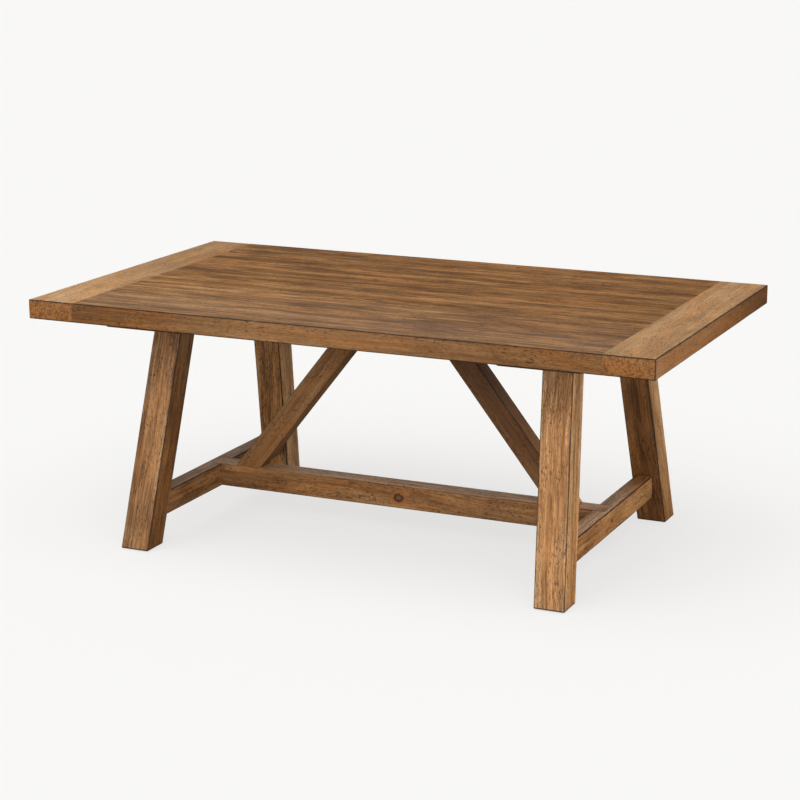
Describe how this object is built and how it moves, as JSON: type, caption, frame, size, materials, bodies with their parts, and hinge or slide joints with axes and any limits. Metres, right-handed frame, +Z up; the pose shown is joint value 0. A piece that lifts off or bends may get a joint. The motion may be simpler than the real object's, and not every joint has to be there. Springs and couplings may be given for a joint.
{
  "type": "trestle dining table",
  "caption": "Rectangular breadboard-ended plank top on two splayed trestles, tied low by a stretcher with diagonal braces, standing on levelling feet.",
  "frame": {"origin": "on the floor, under the middle of the top", "axes": "+X along the table, +Y across it towards the back, +Z up"},
  "size_m": [1.95, 1.13, 0.762],
  "materials": {
    "field_wood": "brown stain, satin",
    "breadboard_wood": "brown stain, satin, a little paler than the field",
    "base_wood": "brown stain, satin",
    "hidden_wood": "brown stain, sawn",
    "pin_wood": "bare hardwood",
    "zinc_steel": "zinc plated",
    "brass_insert": "plain brass",
    "black_steel": "black powder coat",
    "foot_nylon": "black nylon"
  },
  "bodies": {
    "table": {"top_plank_1": "field_wood", "top_plank_2": "field_wood", "top_plank_3": "field_wood", "top_plank_4": "field_wood", "top_plank_5": "field_wood", "top_plank_6": "field_wood", "breadboard_left": "breadboard_wood", "breadboard_right": "breadboard_wood", "leg_front_left": "base_wood", "leg_back_left": "base_wood", "leg_front_right": "base_wood", "leg_back_right": "base_wood", "crossbar_left": "base_wood", "brace_left": "base_wood", "crossbar_right": "base_wood", "brace_right": "base_wood", "stretcher": "base_wood", "head_cleat_left": "hidden_wood", "head_rail_left": "hidden_wood", "head_cleat_right": "hidden_wood", "head_rail_right": "hidden_wood", "plank_splines": "pin_wood", "breadboard_pegs": "pin_wood", "leg_dowels": "pin_wood", "cleat_screws": "zinc_steel", "cleat_washers": "zinc_steel", "top_bolts": "zinc_steel", "top_bolt_washers": "zinc_steel", "stretcher_bolts": "zinc_steel", "stretcher_barrel_nuts": "zinc_steel", "brace_bolts": "zinc_steel", "brace_barrel_nuts": "zinc_steel", "bracket_screws": "zinc_steel", "top_inserts": "brass_insert", "leveller_inserts": "brass_insert", "brace_bracket": "black_steel"},
    "leveller_front_left": {"leveller_base_front_left": "foot_nylon", "leveller_stem_front_left": "zinc_steel"},
    "leveller_back_left": {"leveller_base_back_left": "foot_nylon", "leveller_stem_back_left": "zinc_steel"},
    "leveller_front_right": {"leveller_base_front_right": "foot_nylon", "leveller_stem_front_right": "zinc_steel"},
    "leveller_back_right": {"leveller_base_back_right": "foot_nylon", "leveller_stem_back_right": "zinc_steel"}
  },
  "joints": [
    {"name": "leveller_front_left_screw", "type": "slide", "parent": "table", "child": "leveller_front_left", "axis": [0, 0, -1], "range_m": [0, 0.012]},
    {"name": "leveller_back_left_screw", "type": "slide", "parent": "table", "child": "leveller_back_left", "axis": [0, 0, -1], "range_m": [0, 0.012]},
    {"name": "leveller_front_right_screw", "type": "slide", "parent": "table", "child": "leveller_front_right", "axis": [0, 0, -1], "range_m": [0, 0.012]},
    {"name": "leveller_back_right_screw", "type": "slide", "parent": "table", "child": "leveller_back_right", "axis": [0, 0, -1], "range_m": [0, 0.012]}
  ]
}
